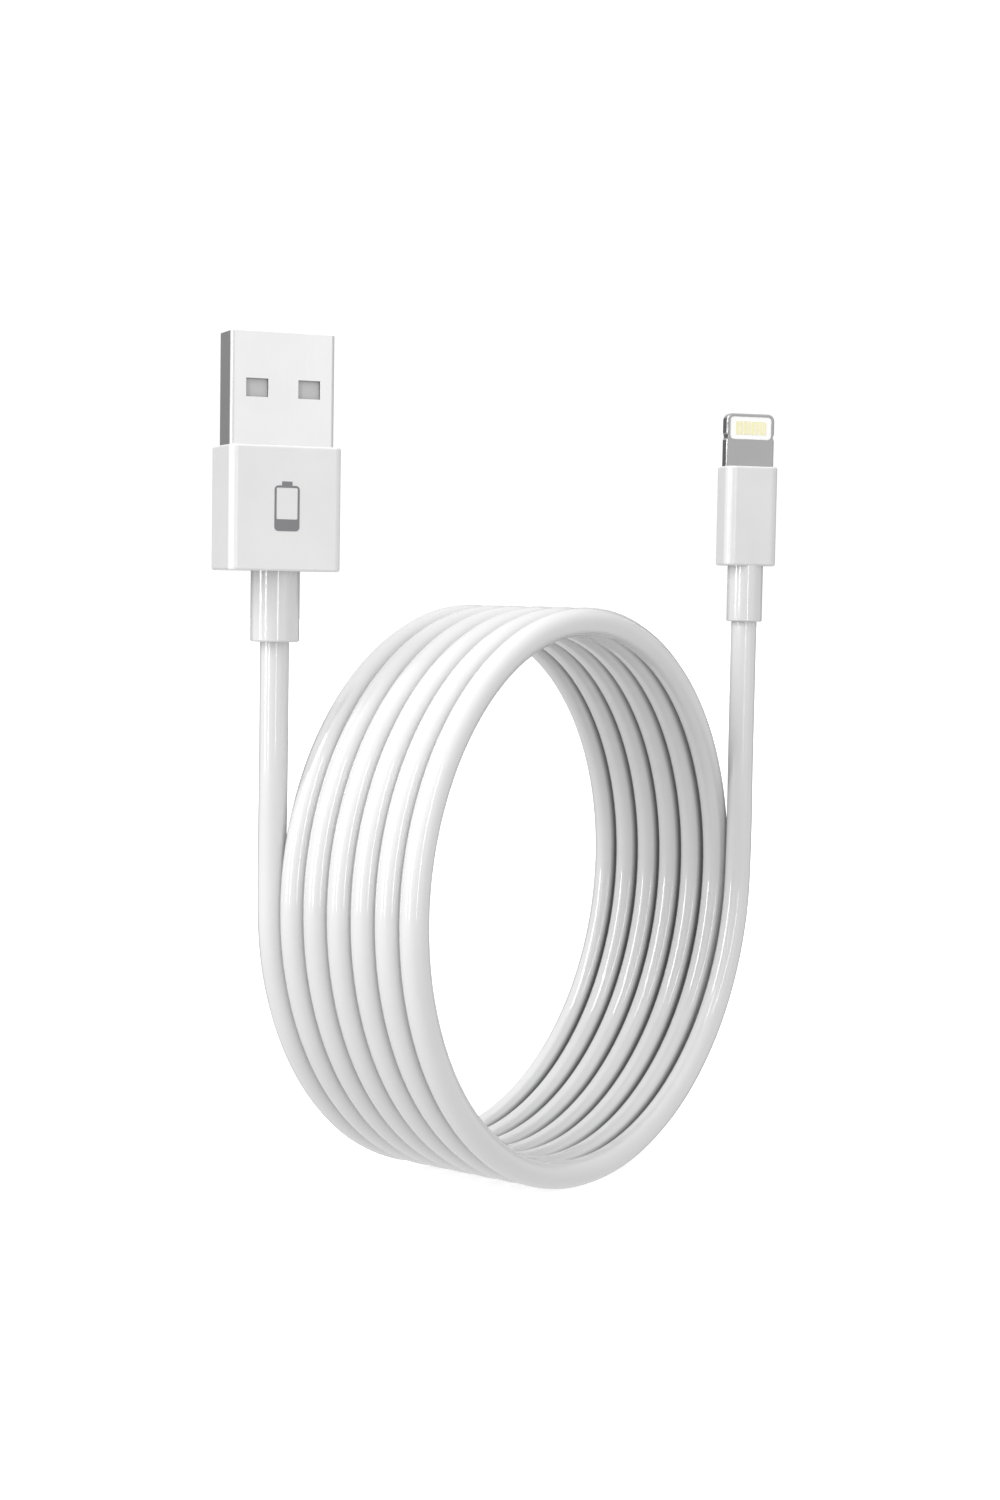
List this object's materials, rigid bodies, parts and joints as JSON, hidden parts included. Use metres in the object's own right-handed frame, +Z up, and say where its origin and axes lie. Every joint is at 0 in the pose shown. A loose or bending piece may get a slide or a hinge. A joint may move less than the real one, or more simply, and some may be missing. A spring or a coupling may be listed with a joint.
{
  "type": "charging cable",
  "caption": "Coiled white charging cable that stands on its coil, with a wide rectangular host plug on one tail and a thin reversible tab plug on the other.",
  "frame": {"origin": "middle of the flat foot under the coil, on the surface it stands on", "axes": "+Z up, along both plugs towards their tips; +Y along the coil's axis, from the tab plug's end of the coil to the host plug's end; +X from the host plug's side to the tab plug's side"},
  "size_m": [0.0781, 0.0321, 0.0992],
  "materials": {
    "cord_jacket": "gloss",
    "relief_white": "satin",
    "housing_white": "gloss",
    "inner_mold": "matte",
    "print_grey": "matte",
    "shell_steel": "satin",
    "insulator_white": "matte",
    "contact_gold": "polished",
    "crimp_steel": "satin",
    "tab_steel": "satin",
    "insert_white": "matte",
    "board_green": "satin",
    "chip_black": "matte",
    "capacitor_tan": "matte",
    "can_steel": "satin",
    "wire_red": "satin",
    "wire_white": "satin",
    "wire_green": "satin",
    "wire_black": "satin"
  },
  "bodies": {
    "root": {"cord_coil": "cord_jacket", "usb_tail": "cord_jacket", "tab_tail": "cord_jacket", "usb_housing": "housing_white", "usb_strain_relief": "relief_white", "usb_inner_mold": "inner_mold", "usb_charge_mark": "print_grey", "usb_shell": "shell_steel", "usb_insulator": "insulator_white", "usb_contact_1": "contact_gold", "usb_contact_2": "contact_gold", "usb_contact_3": "contact_gold", "usb_contact_4": "contact_gold", "usb_crimp": "crimp_steel", "usb_wire_red": "wire_red", "usb_wire_white": "wire_white", "usb_wire_green": "wire_green", "usb_wire_black": "wire_black", "tab_housing": "housing_white", "tab_strain_relief": "relief_white", "tab_inner_mold": "inner_mold", "tab_frame": "tab_steel", "tab_insulator": "insert_white", "tab_contact_front_1": "contact_gold", "tab_contact_front_2": "contact_gold", "tab_contact_front_3": "contact_gold", "tab_contact_front_4": "contact_gold", "tab_contact_front_5": "contact_gold", "tab_contact_front_6": "contact_gold", "tab_contact_front_7": "contact_gold", "tab_contact_front_8": "contact_gold", "tab_contact_back_1": "contact_gold", "tab_contact_back_2": "contact_gold", "tab_contact_back_3": "contact_gold", "tab_contact_back_4": "contact_gold", "tab_contact_back_5": "contact_gold", "tab_contact_back_6": "contact_gold", "tab_contact_back_7": "contact_gold", "tab_contact_back_8": "contact_gold", "tab_circuit_board": "board_green", "tab_identity_chip": "chip_black", "tab_capacitor_1": "capacitor_tan", "tab_capacitor_2": "capacitor_tan", "tab_shield_can": "can_steel", "tab_wire_red": "wire_red", "tab_wire_white": "wire_white", "tab_wire_green": "wire_green", "tab_wire_black": "wire_black"}
  },
  "joints": []
}
